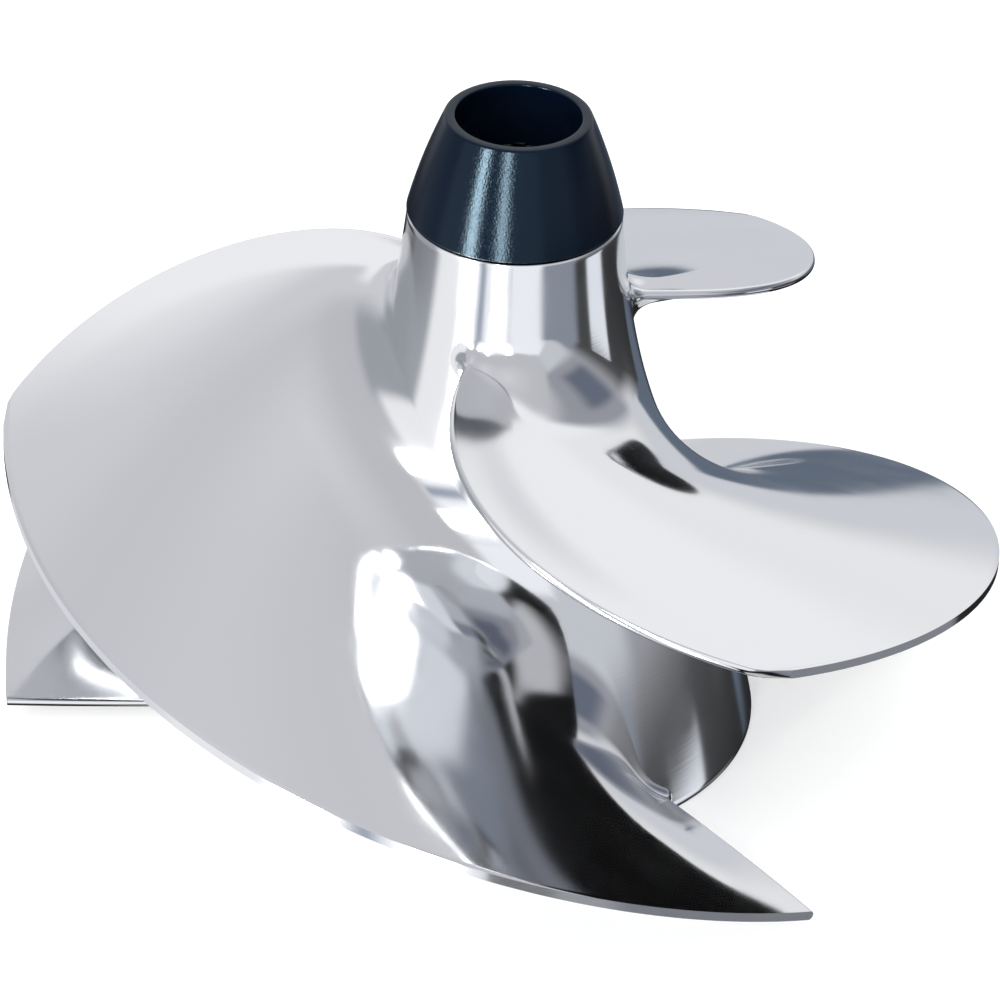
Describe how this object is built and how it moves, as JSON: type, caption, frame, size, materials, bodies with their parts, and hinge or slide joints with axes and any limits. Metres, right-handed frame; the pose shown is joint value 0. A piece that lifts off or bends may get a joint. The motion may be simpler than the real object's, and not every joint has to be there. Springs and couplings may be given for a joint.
{
  "type": "jet pump impeller",
  "caption": "Polished jet-pump impeller with long overlapping swept blades, a trumpet-shaped hub, a splined shaft socket and a dark pull-off nose boot.",
  "frame": {"origin": "centre of the hub's aft rim plane, which the impeller stands on", "axes": "+Z along the shaft towards the nose; -Y faces the front blade; the rotor turns clockwise seen from the nose"},
  "size_m": [0.1554, 0.1553, 0.1058],
  "materials": {
    "polished_stainless": "mirror polished, with fine buffing lines",
    "boot_rubber": "smooth moulded, blue-black, semi-gloss",
    "spring_steel": "satin",
    "damper_rubber": "matte",
    "seal_rubber": "satin"
  },
  "bodies": {
    "rotor": {"hub": "polished_stainless", "blade_1": "polished_stainless", "blade_2": "polished_stainless", "blade_3": "polished_stainless", "boot_o_ring": "seal_rubber", "aft_o_ring": "seal_rubber"},
    "nose": {"nose_boot": "boot_rubber", "boot_retaining_ring": "spring_steel"},
    "damper": {"shaft_damper": "damper_rubber"}
  },
  "joints": [
    {"name": "boot_pull", "type": "slide", "parent": "rotor", "child": "nose", "axis": [0, 0, 1], "range_m": [0, 0.03]},
    {"name": "damper_pull", "type": "slide", "parent": "rotor", "child": "damper", "axis": [0, 0, 1], "range_m": [0, 0.06]}
  ]
}
